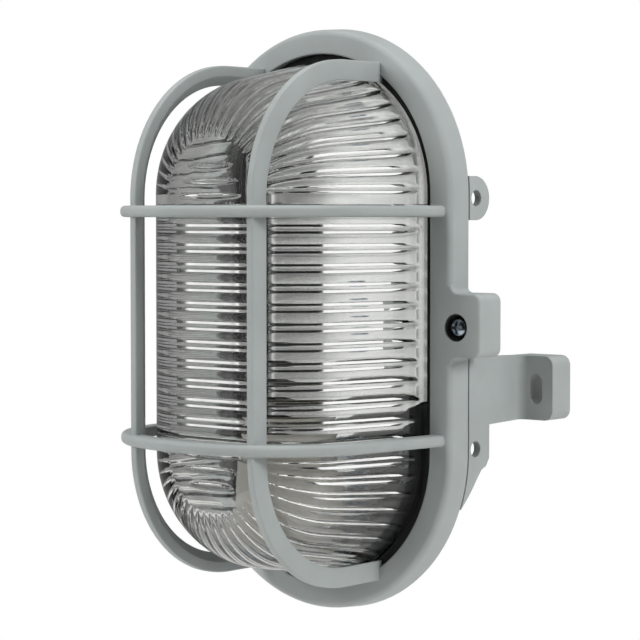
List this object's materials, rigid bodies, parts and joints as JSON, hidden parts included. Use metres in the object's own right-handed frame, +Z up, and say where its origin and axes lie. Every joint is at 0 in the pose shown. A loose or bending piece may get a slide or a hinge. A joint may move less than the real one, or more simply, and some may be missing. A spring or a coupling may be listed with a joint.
{
  "type": "bulkhead light",
  "caption": "Oval grey bulkhead light with a ribbed glass, a hinged wire-style guard held by a side screw, an E27 lampholder and two slotted wall feet",
  "frame": {"origin": "middle of the wiring box's back face, on the wall", "axes": "Z up along the oval's long side, X to the right seen from the front, -Y forward from the wall"},
  "size_m": [0.1476, 0.1268, 0.21],
  "materials": {
    "guard_plastic": "light grey moulded plastic with a fine grain",
    "base_plastic": "light grey moulded plastic with a fine grain",
    "clear_glass": "clear pressed glass, smooth outside and ribbed inside",
    "black_rubber": "dull black rubber",
    "polished_aluminium": "bright polished sheet",
    "zinc_steel": "bright zinc plating",
    "black_plastic": "dull black plastic sheet",
    "porcelain": "glazed off-white porcelain",
    "brass": "bright brass",
    "white_nylon": "off-white nylon",
    "brown_sleeve": "brown wire sleeve",
    "blue_sleeve": "blue wire sleeve"
  },
  "bodies": {
    "base": {"base": "base_plastic", "reflector": "polished_aluminium", "reflector_screws": "zinc_steel", "terminal_cover": "black_plastic", "cover_screws": "zinc_steel", "lampholder_body": "porcelain", "lampholder_shell": "brass", "centre_contact": "brass", "side_contact": "brass", "lampholder_bracket": "zinc_steel", "holder_screws": "zinc_steel", "bracket_screws": "zinc_steel", "terminal_block": "white_nylon", "terminal_tubes": "brass", "terminal_screws": "zinc_steel", "block_screw": "zinc_steel", "wire_live": "brown_sleeve", "wire_neutral": "blue_sleeve", "cable_grommet": "black_rubber", "cable_clamp": "white_nylon", "clamp_screws": "zinc_steel", "hinge_pin": "zinc_steel", "screw_insert": "brass"},
    "guard": {"cage": "guard_plastic", "glass_diffuser": "clear_glass", "glass_gasket": "black_rubber", "cage_screw": "zinc_steel", "screw_washer": "zinc_steel"}
  },
  "joints": [
    {"name": "guard_hinge", "type": "hinge", "parent": "base", "child": "guard", "pos_m": [-0.066, -0.0364, 0], "axis": [0, 0, -1], "range_deg": [0, 100]}
  ]
}
